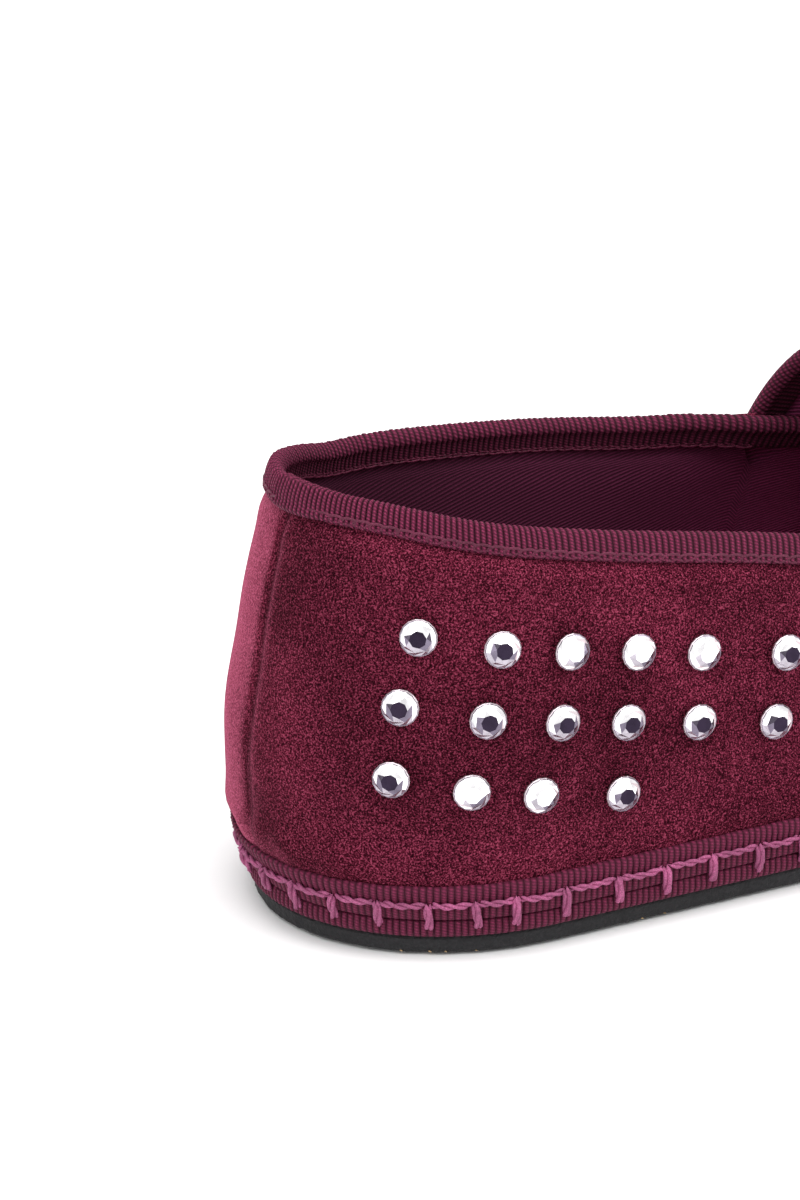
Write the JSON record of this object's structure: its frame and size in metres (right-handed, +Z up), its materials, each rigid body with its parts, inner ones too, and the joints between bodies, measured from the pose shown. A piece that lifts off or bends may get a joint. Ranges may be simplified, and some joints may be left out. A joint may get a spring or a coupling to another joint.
{
  "type": "pointed toe flat",
  "caption": "Slip-on flat with a pointed toe, a velvet upper bound in ribbon, rhinestones on the heel side and a rubber tread sole.",
  "frame": {"origin": "on the floor under the middle of the shoe's bounding box", "axes": "+X from heel to toe, +Y towards the inner side of the foot, +Z up"},
  "size_m": [0.2514, 0.0854, 0.0666],
  "materials": {
    "rubber": "black tread rubber with buffed edge",
    "ribbon": "burgundy ribbed ribbon",
    "lining": "dark burgundy twill",
    "velvet": "burgundy velvet with a pink sheen",
    "crystal": "clear faceted stone with foil back"
  },
  "bodies": {
    "root": {"outsole": "rubber", "midsole": "ribbon", "insole": "lining", "upper": "velvet", "hem_ribbon": "ribbon", "collar_binding": "ribbon", "throat_binding": "ribbon", "rhinestone_upper_1": "crystal", "rhinestone_upper_2": "crystal", "rhinestone_upper_3": "crystal", "rhinestone_upper_4": "crystal", "rhinestone_upper_5": "crystal", "rhinestone_upper_6": "crystal", "rhinestone_middle_1": "crystal", "rhinestone_middle_2": "crystal", "rhinestone_middle_3": "crystal", "rhinestone_middle_4": "crystal", "rhinestone_middle_5": "crystal", "rhinestone_middle_6": "crystal", "rhinestone_lower_1": "crystal", "rhinestone_lower_2": "crystal", "rhinestone_lower_3": "crystal", "rhinestone_lower_4": "crystal"}
  },
  "joints": []
}
